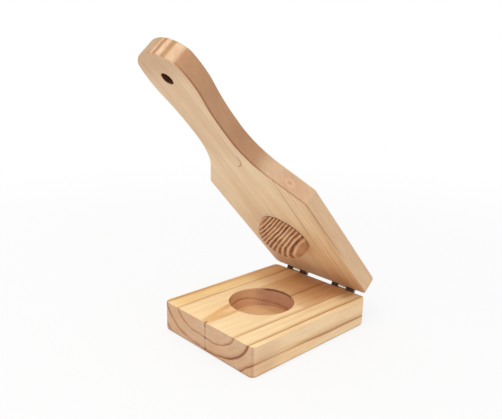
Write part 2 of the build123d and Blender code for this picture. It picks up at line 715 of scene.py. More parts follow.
@dataclass(frozen=True)
class WornSteel:
    """Rolled or plated steel with a patchy sheen, which can carry a painted highlight round an
    axis.

    Attributes:
        name: The material's name.
        colour: Its lighter patches.
        dark: Its darker patches.
        roughness: How matte it is.
        patch: The patches' size, in mm.
        brushing: Size of the fine scratches, which run along x, in mm.
        bright: Colour of the painted highlight round the axis.
        glint_reach: How far round the axis the painted highlight reaches, in mm; 0 leaves it as it
            is.
    """

    name: str
    colour: Colour
    dark: Colour
    roughness: float
    patch: float = 1.6
    brushing: Stretch = (4.0, 0.12, 0.12)
    bright: Colour = (0.8, 0.76, 0.72)
    glint_reach: float = 0.0

    def build(self, axis: Vector) -> Material:
        """Makes the material.

        Args:
            axis: A point on the rubbed axis, which runs along x, in metres.

        Returns:
            The material.
        """
        sheet = ShaderSheet.of_material(self.name)
        place = sheet.local_place(Matrix.Translation(axis))
        patches = sheet.grain(place, (self.patch,) * 3, 4.0, 0.6)
        scratches = sheet.grain(place, self.brushing)
        colour = sheet.blend(patches.step(0.35, 0.7), self.colour, self.dark)
        rough = self.roughness + (patches - 0.5) * 0.25 + (scratches - 0.5) * 0.12
        # Painted highlight round the pin axis, broken up by the patches; the steel there is also
        # made smoother.
        if self.glint_reach:
            _, y, z = sheet.split(place)
            near = hypot(y, z).step(self.glint_reach + 0.3, self.glint_reach - 0.3)
            painted_glint = near * (1.0 - patches.step(0.55, 0.8) * 0.4)
            colour = sheet.blend(painted_glint, colour, self.bright)
            rough = rough - painted_glint * 0.12
        normal = sheet.bumped(scratches, 0.2, 0.04 * MM)
        return sheet.finish(Base_Color=colour, Metallic=1.0, Roughness=rough, Normal=normal)


# ---- Mesh making ----


class OutlinePen:
    """Draws a run of straight and curved edges in the XY plane, in millimetres."""

    def __init__(self, mesh: BMesh, x: float, y: float) -> None:
        """Puts the pen down, heading along x.

        Args:
            mesh: The mesh that takes the edges.
            x: The line's first x.
            y: Its first y.
        """
        self.mesh = mesh
        self.tip = mesh.verts.new((x, y, 0.0))
        self.first = self.tip
        self.heading = 0.0
        self.edges: list[BMEdge] = []

    def line(self, length: float) -> BMVert:
        """Draws straight on.

        Args:
            length: How far.

        Returns:
            The vertex that it ends at.
        """
        step = Vector((math.cos(self.heading), math.sin(self.heading), 0.0)) * length
        made = bmesh.ops.extrude_vert_indiv(self.mesh, verts=[self.tip])
        self.edges += made["edges"]
        self.tip = made["verts"][0]
        bmesh.ops.translate(self.mesh, verts=[self.tip], vec=step)
        return self.tip

    def line_to(self, x: float, y: float) -> BMVert:
        """Draws straight to a point.

        Args:
            x: Its x.
            y: Its y.

        Returns:
            The vertex there.
        """
        away = Vector((x, y, 0.0)) - self.tip.co
        self.heading = math.atan2(away.y, away.x)
        return self.line(away.length)

    def arc(self, radius: float, turn: float, steps: int) -> BMVert:
        """Draws a tangent arc.

        Args:
            radius: Its radius.
            turn: How far it turns to the left, in degrees; less than 0 turns right.
            steps: How many edges it has.

        Returns:
            The vertex that it ends at.
        """
        side = math.copysign(1.0, turn)
        normal = Vector((-math.sin(self.heading), math.cos(self.heading), 0.0)) * side
        made = bmesh.ops.spin(
            self.mesh,
            geom=[self.tip],
            cent=self.tip.co + normal * radius,
            axis=(0.0, 0.0, 1.0),
            angle=math.radians(turn),
            steps=steps,
        )
        old = set(self.edges)
        self.tip = verts_in(made["geom_last"])[0]
        self.edges += [edge for edge in self.mesh.edges if edge not in old and edge.is_wire]
        self.heading += math.radians(turn)
        return self.tip

    def close(self) -> None:
        """Joins the line's end to its start."""
        self.edges += fill(self.mesh, [self.tip, self.first])["edges"]


def verts_in(items: list) -> list[BMVert]:
    """The vertices among an operator's results."""
    return [item for item in items if isinstance(item, BMVert)]


def fill(mesh: BMesh, items: list) -> dict:
    """Joins two vertices with an edge, or fills a closed run of edges with a face."""
    return bmesh.ops.contextual_create(mesh, geom=items)


def lift(mesh: BMesh, verts: list[BMVert], height: float) -> None:
    """Moves vertices along z."""
    bmesh.ops.translate(mesh, verts=verts, vec=(0.0, 0.0, height))


def drop_faces(mesh: BMesh, faces: list[BMFace]) -> None:
    """Takes away faces and leaves their edges."""
    bmesh.ops.delete(mesh, geom=faces, context="FACES_ONLY")


def moved_copy(mesh: BMesh, edges: list[BMEdge]) -> tuple[list[BMVert], list[BMEdge]]:
    """Extrudes a run of edges in place.

    Args:
        mesh: The mesh.
        edges: The edges.

    Returns:
        The new run's vertices, which are still to be moved, and its edges.
    """
    made = bmesh.ops.extrude_edge_only(mesh, edges=edges)["geom"]
    verts = verts_in(made)
    inner = set(verts)
    run = [item for item in made if isinstance(item, BMEdge)]
    return verts, [edge for edge in run if set(edge.verts) <= inner]


def thicken(mesh: BMesh, height: float) -> None:
    """Makes half a board of the flat face of its half outline.

    Args:
        mesh: The half outline; the half board is open at x = 0.
        height: Where the board's other face lies.
    """
    raised = bmesh.ops.extrude_face_region(mesh, geom=mesh.faces[:])
    lift(mesh, verts_in(raised["geom"]), height)
    drop_faces(mesh, [face for face in mesh.faces if on_middle(face)])


def round_off(mesh: BMesh, items: list, offset: float, steps: int, kind: str = "EDGES") -> None:
    """Rounds edges or corners.

    Args:
        mesh: The mesh.
        items: The edges, or vertices.
        offset: How far from them the rounding starts; along edges at right angles, its radius.
        steps: How many faces or edges the rounding has across.
        kind: What the items are, EDGES or VERTICES.
    """
    bmesh.ops.bevel(
        mesh,
        geom=items,
        offset=offset,
        segments=steps,
        profile=0.5,
        affect=kind,
        material=-1,
        clamp_overlap=False,
    )


def round_corner(mesh: BMesh, corner: BMVert, radius: float, steps: int) -> None:
    """Rounds a corner of a flat face, where two boundary edges meet, with an arc of a radius."""
    arms = [(edge.other_vert(corner).co - corner.co).normalized() for edge in corner.link_edges]
    round_off(mesh, [corner], radius / math.tan(arms[0].angle(arms[1]) / 2), steps, "VERTICES")


def bounding_edges(mesh: BMesh, height: float) -> list[BMEdge]:
    """Sharp edges at a height that lie off the plane of symmetry.

    Args:
        mesh: A half mesh, open at x = 0.
        height: The z of the edges.

    Returns:
        The edges.
    """
    return [
        edge
        for edge in mesh.edges
        if all(abs(vert.co.z - height) < TINY for vert in edge.verts)
        and not on_middle(edge)
        and len(edge.link_faces) == 2
        and edge.calc_face_angle(0.0) > SHARP
    ]


def on_middle(item: BMEdge | BMFace) -> bool:
    """Whether an edge or a face lies in the plane of symmetry."""
    return all(abs(vert.co.x) < TINY for vert in item.verts)


def mirrored(mesh: BMesh) -> None:
    """Adds the other half of a half mesh and closes the seam.

    Args:
        mesh: The half mesh, on the side where x is above 0.
    """
    whole = mesh.verts[:] + mesh.edges[:] + mesh.faces[:]
    bmesh.ops.mirror(mesh, geom=whole, axis="X", merge_dist=TINY)
    bmesh.ops.remove_doubles(mesh, verts=mesh.verts[:], dist=TINY)
    bmesh.ops.recalc_face_normals(mesh, faces=mesh.faces[:])


def stand(name: str, data: bpy.types.ID) -> Object:
    """Puts an object in the scene.

    Args:
        name: Its name.
        data: Its mesh, lamp or camera.

    Returns:
        The object, at the origin.
    """
    thing = bpy.data.objects.new(name, data)
    bpy.context.scene.collection.objects.link(thing)
    return thing


class Workshop:
    """Turns a finished bmesh into an object that the frame knows."""

    @staticmethod
    def place(
        mesh: BMesh,
        name: str,
        placing: Matrix,
        material: Material,
        body: Body,
        slot: Slot,
        node: str,
        weighted: bool = True,
    ) -> None:
        """Places a mesh made in millimetres, and hides the CAD node that it replaces.

        Args:
            mesh: The mesh, in the piece's own axes; it's freed.
            name: The piece's name.
            placing: The piece's axes and origin, in metres.
            material: Its material.
            body: The body that it rides on.
            slot: Its material slot; not used.
            node: The CAD node that it replaces.
            weighted: Whether flat faces keep flat shading beside their rounded edges.
        """
        bmesh.ops.transform(mesh, matrix=placing @ Matrix.Scale(MM, 4), verts=mesh.verts[:])
        data = bpy.data.meshes.new(name)
        mesh.to_mesh(data)
        mesh.free()
        data.materials.append(material)
        data.shade_smooth()
        thing = stand(name, data)
        if weighted:
            shading = thing.modifiers.new("flat faces", "WEIGHTED_NORMAL")
            shading.weight = 100
            shading.keep_sharp = True
        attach(thing, body.value)
        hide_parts(node)
        LOG.info("%s: %d faces on %s", name, len(data.polygons), body.value)


# ---- The press ----


@dataclass
class PressFrame:
    """The places that both boards are measured from.

    Attributes:
        opening_angle: How far the lever is open, in degrees.
        pin_setback: How far the boards' rear faces are from the hinge axis, in mm.
        board_gap: How far apart the boards are when shut, in mm.
        pin: The middle of the hinge axis, in metres.
    """

    opening_angle: float
    pin: Vector
    pin_setback: float = 2.1
    board_gap: float = 0.6

    @classmethod
    def from_joint(cls, joint: dict) -> "PressFrame":
        """Reads the opening angle and the pin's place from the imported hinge."""
        return cls(-joint["range_deg"][0], Vector(joint["pos_m"]))

    def lever(self, station: float = 0.0) -> Matrix:
        """Axes of the lever board: x across, y from hinge to handle, z out of the underside.

        Args:
            station: How far along the lever the origin lies, in mm.

        Returns:
            The axes and origin.
        """
        turned = Matrix.Rotation(math.radians(180.0 - self.opening_angle), 4, "X")
        corner = Vector((0.0, self.pin_setback + station, -self.board_gap / 2)) * MM
        return Matrix.Translation(self.pin) @ turned @ Matrix.Translation(corner)


BLOCK_PITH = Pith(-1.0, 28.0, 0.0, -0.012, 1.48, 8.0)
HEART = Pith(-8.3, 27.5, -0.114, -0.034, 2.0)
RECESS_CENTRE = (0.0, -5.5)
IN_RECESS = Ring((X, Y), RECESS_CENTRE, 25.9)
FRONT_HALF = Slab(Y, -70.0, 0.0)
FRONT_SKIN = Slab(Y, -65.0, -61.0)

BLOCK_MARKS = (
    # The heart's band and line in front of the recess; behind it, the heart's band deepened with
    # painted shade of the lever, and a dark line.
    Mark((0.94, 0.84, 0.73), (Core(HEART, 5.5, edge=0.9), FRONT_HALF, FLATS)),
    Mark((0.85, 0.70, 0.55), (Core(HEART, 5.9, 4.9, 0.35), FRONT_HALF, FLATS)),
    Mark((0.87, 0.76, 0.68), (Slab(X, -20.5, 31.5, 1.6), Slab(Y, 10.0, 80.0, 4.0), FLATS)),
    Mark((0.78, 0.66, 0.56), (Slab(X, 7.4, 10.2, 1.2), Slab(Y, 12.0, 80.0), FLATS)),
    # The recess's wall and floor darkened with painted shade, and a dark arc of painted shade
    # under its rear rim.
    Mark((0.86, 0.73, 0.72), (IN_RECESS, Slab(Z, 8.4, 23.5, 0.3))),
    Mark((0.90, 0.80, 0.74), (IN_RECESS, Slab(Z, 2.0, 8.4, 0.3))),
    Mark(
        (0.40, 0.28, 0.21),
        (
            Ring((X, Y), RECESS_CENTRE, 26.1, 24.9),
            Slab(X, -16.5, 9.5, 2.0),
            Slab(Y, 5.0, 40.0),
            Slab(Z, 22.0, 23.7),
        ),
    ),
    # Painted shade of the lever over the top's rear, and a yellower tone along the left edge.
    Mark((0.80, 0.67, 0.58), (Slab(Y, 24.0, 80.0, 12.0), Slab(X, -60.0, 30.0, 4.0), FLATS)),
    Mark((0.62, 0.50, 0.40), (Slab(Y, 47.0, 80.0, 10.0), Slab(X, 30.0, 42.0, 4.0), FLATS)),
    Mark((0.86, 0.80, 0.76), (Slab(Y, 44.0, 80.0, 10.0), Slab(X, -22.0, 30.0, 2.0), FLATS)),
    Mark((0.93, 0.90, 0.86), (Slab(Y, 30.0, 80.0, 14.0), Slab(X, 38.0, 60.0, 8.0), FLATS)),
    Mark((0.95, 0.86, 0.66), (Slab(X, -60.0, -33.0, 5.0), Slab(Y, -60.0, 80.0, 8.0), FLATS)),
    # Painted shade along the bottom edge, then the sides' tint, darker towards the front.
    Mark((0.58, 0.54, 0.52), (Slab(Z, -1.0, 1.7, 0.9),)),
    Mark((0.94, 0.91, 0.97), (SIDES,)),
    Mark((0.88, 0.83, 0.84), (Slab(Y, -80.0, -40.0, 10.0), SIDES)),
    # Painted shade in the drying check and in the line below it, two dark dots on that line, and a
    # darker ring.
    Mark(
        (0.14, 0.09, 0.06),
        (Slab(X, -0.45, 0.45, 0.25), Slab(Y, -65.0, -60.0), Slab(Z, 20.0, 26.0, 1.0)),
    ),
    Mark(
        (0.60, 0.48, 0.40),
        (Slab(X, -0.35, 0.35, 0.25), Slab(Y, -65.0, -60.6), Slab(Z, 3.0, 20.0, 1.0)),
    ),
    Mark((0.35, 0.24, 0.18), (Ring((X, Z), (0.0, 12.0), 0.8), FRONT_SKIN)),
    Mark((0.35, 0.24, 0.18), (Ring((X, Z), (0.5, 3.5), 0.9), FRONT_SKIN)),
    Mark((0.62, 0.48, 0.38), (Core(BLOCK_PITH, 26.9, 25.4), Slab(X, 24.0, 47.0, 6.0), ENDS)),
)

PALE_PINE = SolidWood(
    name="pale pine",
    early=linear(252, 225, 177),
    late=linear(178, 114, 56),
    flush=linear(242, 198, 132),
    end_tint=(0.65, 0.545, 0.58),
    pith=BLOCK_PITH,
    lines=(RingLine(17.6, 1.0, 0.85), RingLine(26.7, 1.25, 1.0), RingLine(35.1, 1.25, 1.0)),
    reach=40.0,
    fine_pitch=4.3,
    fine_strength=0.13,
    line_on_face=0.9,
    fibre_share=0.24,
    marks=BLOCK_MARKS,
)


@dataclass
class BaseBlock:
    """The block that the plantain lies in; its sizes are in mm."""

    width: float = 100.0
    length: float = 125.0
    thickness: float = 24.0
    corner_radius: float = 4.8
    top_round: float = 0.7
    bottom_round: float = 2.4
    recess_radius: float = 25.5
    recess_depth: float = 16.0
    recess_y: float = RECESS_CENTRE[1]
    rim_round: float = 0.45
    floor_round: float = 0.5
    check_width: float = 0.7
    check_depth: float = 1.6
    check_low: float = 12.0
    check_levels: int = 6
    check_foot: float = 0.25
    wood: SolidWood = PALE_PINE

    def half(self) -> BMesh:
        """Half of the block, open at x = 0.

        Returns:
            The half mesh.
        """
        mesh = bmesh.new()
        front, back = -self.length / 2, self.length / 2
        pen = OutlinePen(mesh, 0.0, front)
        corners = [pen.line_to(self.width / 2, y) for y in (front, back)]
        pen.line_to(0.0, back)
        pen.close()
        fill(mesh, pen.edges)
        for corner in corners:
            round_corner(mesh, corner, self.corner_radius, 7)
        thicken(mesh, self.thickness)
        return mesh

    def build(self) -> None:
        """Models the block and dresses it."""
        mesh = self.half()
        round_off(mesh, bounding_edges(mesh, 0.0), self.bottom_round, 4)
        round_off(mesh, bounding_edges(mesh, self.thickness), self.top_round, 4)
        self.cut_recess(mesh)
        floor = self.thickness - self.recess_depth
        round_off(mesh, bounding_edges(mesh, self.thickness), self.rim_round, 3)
        round_off(mesh, bounding_edges(mesh, floor), self.floor_round, 3)
        self.open_check(mesh)
        mirrored(mesh)
        placing = Matrix.Identity(4)
        wood = self.wood.build(placing)
        Workshop.place(
            mesh, "base_block_wood", placing, wood, Body.BASE, Slot.BASE_WOOD, "base_block"
        )

    def cut_recess(self, mesh: BMesh) -> None:
        """Opens the half recess in the top face.

        Args:
            mesh: The half mesh.
        """
        top = next(
            face
            for face in mesh.faces
            if all(abs(vert.co.z - self.thickness) < TINY for vert in face.verts)
        )
        outside = [edge for edge in top.edges if not on_middle(edge)]
        middle = (vert for vert in top.verts if abs(vert.co.x) < TINY)
        ends = sorted(middle, key=lambda vert: vert.co.y)
        drop_faces(mesh, [top])
        loose = [edge for edge in mesh.edges if edge.is_wire]
        bmesh.ops.delete(mesh, geom=loose, context="EDGES")
        pen = OutlinePen(mesh, 0.0, self.recess_y - self.recess_radius)
        pen.arc(self.recess_radius, 180.0, 48)
        lift(mesh, list({vert for edge in pen.edges for vert in edge.verts}), self.thickness)
        near = fill(mesh, [ends[0], pen.first])["edges"]
        far = fill(mesh, [ends[-1], pen.tip])["edges"]
        fill(mesh, outside + pen.edges + near + far)
        low, edges = moved_copy(mesh, pen.edges)
        lift(mesh, low, -self.recess_depth)
        across = fill(mesh, [vert for vert in low if abs(vert.co.x) < TINY])["edges"]
        fill(mesh, edges + across)

    def open_check(self, mesh: BMesh) -> None:
        """Opens the drying check in the middle of the front face, wide at the top and shut below.

        Args:
            mesh: The half mesh.
        """
        reach = self.top_round + 0.01 - self.length / 2
        mouth = self.check_width / 2
        cuts = [((mouth, 0.0, 0.0), (1.0, 0.0, 0.0))]
        for step in range(self.check_levels):
            cuts.append(((0.0, 0.0, self.check_low + step * 2.0), (0.0, 0.0, 1.0)))
        for place, normal in cuts:
            near = [
                face
                for face in mesh.faces
                if all(vert.co.y < reach for vert in face.verts)
                and min(vert.co.x for vert in face.verts) < TINY
            ]
            geom = {item for face in near for item in (*face.verts, *face.edges, face)}
            bmesh.ops.bisect_plane(mesh, geom=list(geom), plane_co=place, plane_no=normal)
        for vert in mesh.verts:
            share = (vert.co.z - self.check_low) / (self.thickness - self.check_low)
            if vert.co.y > reach or vert.co.x > mouth + TINY or share < 0.0:
                continue
            if vert.co.x > TINY:
                vert.co.x = mouth * (self.check_foot + (1.0 - self.check_foot) * share**1.5)
            else:
                vert.co.y += self.check_depth * min(1.0, share * 2.5)


TIP = Slab(Y, 235.0, 260.0, 2.0)
KNOT = (131.5, -6.5)
RIGHT_HALF = Slab(X, 20.0, 60.0)

LEVER_MARKS = (
    # Tones of the handle, the underside and the sides, and painted shade on the plate's faces
    # towards the hinge.
    Mark((0.93, 0.89, 0.88), (Slab(Y, 158.0, 260.0, 14.0),)),
    Mark((0.85, 0.80, 0.78), (Slab(Y, 232.0, 260.0, 10.0), FLATS)),
    # Painted shade with a warm cast on the plate's faces towards the hinge, deepest on the right.
    Mark((0.98, 0.91, 0.84), (Slab(X, 14.0, 60.0, 8.0), Slab(Y, -10.0, 85.0, 20.0), FLATS)),
    Mark((0.90, 0.84, 0.80), (Slab(X, 26.0, 60.0, 8.0), Slab(Y, -10.0, 40.0, 16.0), FLATS)),
    Mark((0.86, 0.76, 0.71), (Slab(Y, -10.0, 140.0, 9.0), SIDES)),
    # Painted shade on the plate's faces next to the hinge.
    Mark((0.87, 0.79, 0.76), (Slab(Y, -10.0, 22.0, 12.0), FLATS)),
    Mark((0.87, 0.85, 0.88), (Slab(Y, 118.0, 148.0, 8.0), SIDES)),
    Mark((0.65, 0.49, 0.41), (Slab(Y, 148.0, 300.0, 8.0), Slab(Y, 0.0, 242.4, 1.4), SIDES)),
    Mark((0.88, 0.84, 0.82), (Slab(Y, 146.0, 182.0, 12.0), SIDES)),
    Mark((0.72, 0.58, 0.48), (Slab(Z, -1.4, -0.3, 0.3), Slab(Y, 60.0, 240.0, 12.0), SIDES)),
    # The tip's end: its left part darker, in tone and with painted shade, then its stripes.
    Mark((0.69, 0.68, 0.64), (Slab(X, -30.0, 3.2, 1.2), TIP, ENDS)),
    Mark((0.60, 0.45, 0.34), (Slab(X, 4.7, 7.0, 0.7), TIP, ENDS)),
    Mark((0.63, 0.48, 0.37), (Slab(X, 10.4, 13.4, 1.2), TIP, ENDS)),
    Mark((0.84, 0.74, 0.64), (Slab(X, -13.6, -12.0, 1.0), TIP, ENDS)),
    # The curved scratch on the underside, painted shade inside the hanging hole, and the knot in
    # the right side.
    Mark(
        (0.54, 0.40, 0.30),
        (
            Ring((X, Y), (2.5, 157.5), 10.0, 9.2, 0.25),
            Slab(X, 4.4, 16.0),
            Slab(Y, 147.4, 160.5),
            Slab(Z, -2.0, 1.0),
        ),
    ),
    Mark(
        (0.20, 0.13, 0.09),
        (Ring((X, Y), (0.0, 229.0), 4.9, edge=0.25), Slab(Z, -14.1, -0.35, 0.3)),
    ),
    Mark((1.12, 1.14, 1.16), (Ring((Y, Z), KNOT, 3.4, 1.6, 0.7, 0.8), RIGHT_HALF)),
    Mark((0.86, 0.78, 0.72), (Ring((Y, Z), KNOT, 0.8, edge=0.7, squash=0.8), RIGHT_HALF)),
)

HANDLE_PINE = SolidWood(
    name="handle pine",
    early=linear(238, 212, 175),
    late=linear(184, 130, 84),
    flush=linear(226, 184, 140),
    end_tint=(0.92, 0.86, 0.83),
    pith=Pith(118.0, -60.0, 0.03),
    lines=(
        RingLine(96.5, 1.4, 0.42),
        RingLine(101.8, 1.1, 0.42),
        RingLine(108.5, 1.5, 0.36),
        RingLine(134.0, 1.0, 0.26),
        RingLine(151.0, 1.2, 0.26),
    ),
    reach=200.0,
    fine_pitch=3.4,
    fine_strength=0.42,
    fibre_share=0.2,
    side_calm=0.85,
    seed=11.0,
    marks=LEVER_MARKS,
)


@dataclass
class LeverBoard:
    """The lever: a plate over the base that narrows to a handle; its sizes are in mm."""

    half_width: float = 50.0
    length: float = 250.0
    thickness: float = 14.5
    plate_length: float = 118.0
    rear_radius: float = 5.0
    shoulder_radius: float = 4.0
    shoulder_slant: float = 39.5
    flare_radius: float = 60.0
    neck_half_width: float = 17.6
    neck_length: float = 6.0
    palm_half_width: float = 22.0
    palm_from_end: float = 24.7
    hollow_share: float = 0.7
    end_half_width: float = 20.0
    end_radius: float = 25.5
    end_corner_radius: float = 8.0
    outer_round: float = 2.5
    inner_round: float = 0.6
    hole_radius: float = 4.5
    hole_from_end: float = 21.0
    hole_round: float = 0.5
    wood: SolidWood = HANDLE_PINE

    def half(self) -> BMesh:
        """Half of the lever's outline as one face, with half of the hanging hole.

        Returns:
            The half mesh.
        """
        mesh = bmesh.new()
        slant = math.radians(self.shoulder_slant)
        flare_half_width = self.neck_half_width + self.flare_radius * (1 - math.cos(slant))
        flare_y = self.plate_length + (self.half_width - flare_half_width) / math.tan(slant)
        neck_y = flare_y + self.flare_radius * math.sin(slant) + self.neck_length
        palm_y = self.length - self.palm_from_end
        rise = self.palm_half_width - self.neck_half_width
        swell = 2 * math.atan2(rise, palm_y - neck_y)
        bend = (palm_y - neck_y) / math.sin(swell)
        centre_y = self.length - self.end_radius
        corner_y = centre_y + math.sqrt(self.end_radius**2 - self.end_half_width**2)
        cheek = 2 * math.atan2(self.palm_half_width - self.end_half_width, corner_y - palm_y)
        end_start = math.atan2(corner_y - centre_y, self.end_half_width)

        pen = OutlinePen(mesh, 0.0, 0.0)
        rear = pen.line_to(self.half_width, 0.0)
        shoulder = pen.line_to(self.half_width, self.plate_length)
        pen.line_to(flare_half_width, flare_y)
        pen.arc(self.flare_radius, -self.shoulder_slant, 18)
        pen.line(self.neck_length)
        pen.arc(bend * self.hollow_share, -math.degrees(swell), 14)
        pen.arc(bend * (1 - self.hollow_share), math.degrees(swell), 8)
        tip = pen.arc((corner_y - palm_y) / math.sin(cheek), math.degrees(cheek), 6)
        pen.heading = end_start + math.pi / 2
        pen.arc(self.end_radius, 90.0 - math.degrees(end_start), 10)
        pen.line_to(0.0, self.length - self.hole_from_end + self.hole_radius)
        pen.heading = 0.0
        pen.arc(self.hole_radius, -180.0, 20)
        pen.close()
        fill(mesh, pen.edges)
        round_corner(mesh, rear, self.rear_radius, 8)
        round_corner(mesh, shoulder, self.shoulder_radius, 6)
        round_corner(mesh, tip, self.end_corner_radius, 5)
        return mesh

    def build(self, frame: PressFrame) -> None:
        """Models the lever board and dresses it.

        Args:
            frame: Where the lever lies.
        """
        mesh = self.half()
        thicken(mesh, -self.thickness)
        hole = Vector((0.0, self.length - self.hole_from_end))

        def at_hole(edge: BMEdge) -> bool:
            """Whether an edge is on the hanging hole."""
            return max((vert.co.xy - hole).length for vert in edge.verts) < self.hole_radius + 0.5

        faces = ((-self.thickness, self.outer_round, 7), (0.0, self.inner_round, 3))
        for height, radius, steps in faces:
            edges = [edge for edge in bounding_edges(mesh, height) if not at_hole(edge)]
            round_off(mesh, edges, radius, steps)
            rim = [edge for edge in bounding_edges(mesh, height) if at_hole(edge)]
            round_off(mesh, rim, self.hole_round, 3)
        mirrored(mesh)
        placing = frame.lever()
        wood = self.wood.build(placing)
        Workshop.place(
            mesh, "lever_board_wood", placing, wood, Body.LEVER, Slot.LEVER_WOOD, "lever_board"
        )


@dataclass
class PressBoss:
    """The turned plug that flattens the slice.

    Its grain crosses the lever's at an angle, and its hard rings stand proud of the soft wood.
    A count of rings grows across it, by one from each hard ring to the next.

    Attributes:
        fullness: How full its dome is, where 2 is an ellipse.
        wall: Height of its upright wall, in mm.
        station: How far along the lever its middle is, in mm.
        groove: Depth of a full groove, in mm.
        seat: Height at which grooves start, and over which they reach their depth, in mm.
        rings_per_mm: Rings counted for each mm in x, y and z.
        ring_twist: Rings added for each mm² of x times y.
        ring_bend: Rings added for each mm² of y squared.
        ring_start: The count in the middle of its foot.
        wander: How many rings the count wanders by.
        wander_size: Over what distance it wanders, in mm.
        ripple_size: Over what distance it ripples, in mm.
        depth_share: How deep a groove is on average, as a share of a full one.
        unevenness: How much the grooves' depths differ.
        profile: Depth over one ring, from 0 on the hard ring to 1.
        plain_from: The count at which the grooves start to fade, over one ring.
        plain_share: How much they fade.
        ruddy_x: Where the redder wood starts and is full, in mm along x.
        ruddy_y: The same along y.
        foot_shade: Where the dark line at its foot, painted shade with a glue line, ends and is
            full, in mm.
        early: Colour of the ridges.
        late: Colour of the grooves, painted shade in them.
        worn: Colour of the plain end and of the redder wood.
    """

    radius: float = 21.5
    height: float = 15.0
    fullness: float = 2.7
    wall: float = 2.0
    wall_rows: int = 8
    station: float = 65.5
    around: int = 400
    rows: int = 96
    groove: float = 0.55
    seat: tuple[float, float] = (0.05, 0.8)
    rings_per_mm: tuple[float, float, float] = (0.2024, -0.1614, 0.0506)
    ring_twist: float = 0.00254
    ring_bend: float = -0.00372
    ring_start: float = -0.226
    wander: float = 0.13
    wander_size: float = 6.5
    ripple_size: float = 2.2
    depth_share: float = 0.92
    unevenness: float = 0.4
    profile: tuple[tuple[float, float], ...] = (
        (0.0, 0.0), (0.11, 0.08), (0.24, 0.6), (0.4, 0.92), (0.52, 1.0),
        (0.64, 0.9), (0.8, 0.5), (0.9, 0.06), (1.0, 0.0),
    )
    plain_from: float = 4.1
    plain_share: float = 0.88
    ruddy_x: tuple[float, float] = (-5.0, -17.0)
    ruddy_y: tuple[float, float] = (1.0, 14.0)
    foot_shade: tuple[float, float] = (1.1, 0.1)
    early: Colour = linear(236, 188, 144)
    late: Colour = linear(100, 52, 27)
    worn: Colour = linear(206, 140, 96)

    def build(self, frame: PressFrame) -> None:
        """Models the boss and dresses it.

        Args:
            frame: Where the lever lies.
        """
        mesh = bmesh.new()
        pen = OutlinePen(mesh, 0.0, 0.0)
        pen.line_to(self.radius, 0.0)
        for step in range(1, self.wall_rows + 1):
            pen.line_to(self.radius, self.wall * step / self.wall_rows)
        power = 2 / self.fullness
        for step in range(1, self.rows + 1):
            turn = math.pi / 2 * step / self.rows
            out = self.wall + (self.height - self.wall) * math.sin(turn) ** power
            pen.line_to(self.radius * max(math.cos(turn), 0.0) ** power, out)
        upright = Matrix.Rotation(math.pi / 2, 3, "X")
        bmesh.ops.rotate(mesh, verts=mesh.verts[:], cent=(0, 0, 0), matrix=upright)
        bmesh.ops.spin(
            mesh,
            geom=mesh.verts[:] + mesh.edges[:],
            cent=(0.0, 0.0, 0.0),
            axis=(0.0, 0.0, 1.0),
            angle=math.tau,
            steps=self.around,
            use_merge=True,
        )
        bmesh.ops.remove_doubles(mesh, verts=mesh.verts[:], dist=SEAM)
        bmesh.ops.recalc_face_normals(mesh, faces=mesh.faces[:])
        self.carve_grooves(mesh)
        placing = frame.lever(self.station)
        wood = self.material(placing)
        Workshop.place(
            mesh, "press_boss_wood", placing, wood, Body.LEVER, Slot.BOSS_WOOD, "press_boss", False
        )

    def carve_grooves(self, mesh: BMesh) -> None:
        """Sinks the soft early wood between the hard rings, and keeps the depths on the mesh.

        Args:
            mesh: The boss, in its own axes.
        """
        mesh.normal_update()
        layer = mesh.verts.layers.float.new(GROOVE)
        start, over = self.seat
        moves = []
        for vert in mesh.verts:
            vert[layer] = self.groove_at(vert.co)
            seat = min(max(vert.co.z - start, 0.0) / over, 1.0)
            moves.append((vert, vert.normal * (-self.groove * vert[layer] * seat)))
        for vert, move in moves:
            vert.co += move

    def groove_at(self, point: Vector) -> float:
        """How deep the soft wood has sunk at a point.

        Args:
            point: A point of the plain boss, in mm.

        Returns:
            The depth, from 0 on a hard ring to 1.
        """
        count = self.curve_at(point.x, point.y) + point.dot(Vector(self.rings_per_mm))
        sway = noise.noise(point / self.wander_size) + 0.3 * noise.noise(point / self.ripple_size)
        ring, place = divmod(count + sway * self.wander, 1.0)
        for (near, low), (far, high) in zip(self.profile, self.profile[1:]):
            if place <= far:
                break
        depth = low + (high - low) * (place - near) / (far - near)
        plain = min(max(count - self.plain_from, 0.0), 1.0)
        drawn = noise.noise(Vector((ring * 1.7, 0.3, 0.6)))
        strength = self.depth_share + self.unevenness * drawn
        return min(depth * strength * (1.0 - plain * self.plain_share), 1.0)

    def curve_at(self, x: "float | Reading", y: "float | Reading") -> "float | Reading":
        """What the rings' curve adds to the count at a place, in mm, as numbers or readings."""
        return x * y * self.ring_twist + y * y * self.ring_bend + self.ring_start

    def material(self, placing: Matrix) -> Material:
        """Makes the boss's wood, with painted shade in the carved grooves.

        Args:
            placing: The boss's axes and origin, in metres.

        Returns:
            The material.
        """
        sheet = ShaderSheet.of_material("ridged pine")
        place = sheet.local_place(placing)
        x, y, height = sheet.split(place)
        count = self.curve_at(x, y) + sheet.dot(place, Vector(self.rings_per_mm))
        plain = count.step(self.plain_from, self.plain_from + 1.0)
        ruddy = x.step(*self.ruddy_x) * y.step(*self.ruddy_y)
        depth = sheet.add("ShaderNodeAttribute", {"attribute_name": GROOVE}).outputs["Fac"]
        grooves = Reading(sheet, depth) * (1.0 - ruddy * 0.45)
        fibres = sheet.grain(place, (0.5,) * 3, 3.0, 0.65)
        broad = sheet.grain(place, (9.0,) * 3, 3.0)
        uneven = sheet.grain(place, (5.0,) * 3).step(0.3, 0.62)
        colour = sheet.blend(broad.step(0.35, 0.7) * 0.5, self.early, self.worn)
        colour = sheet.blend((plain + ruddy).clamped() * 0.8, colour, self.worn)
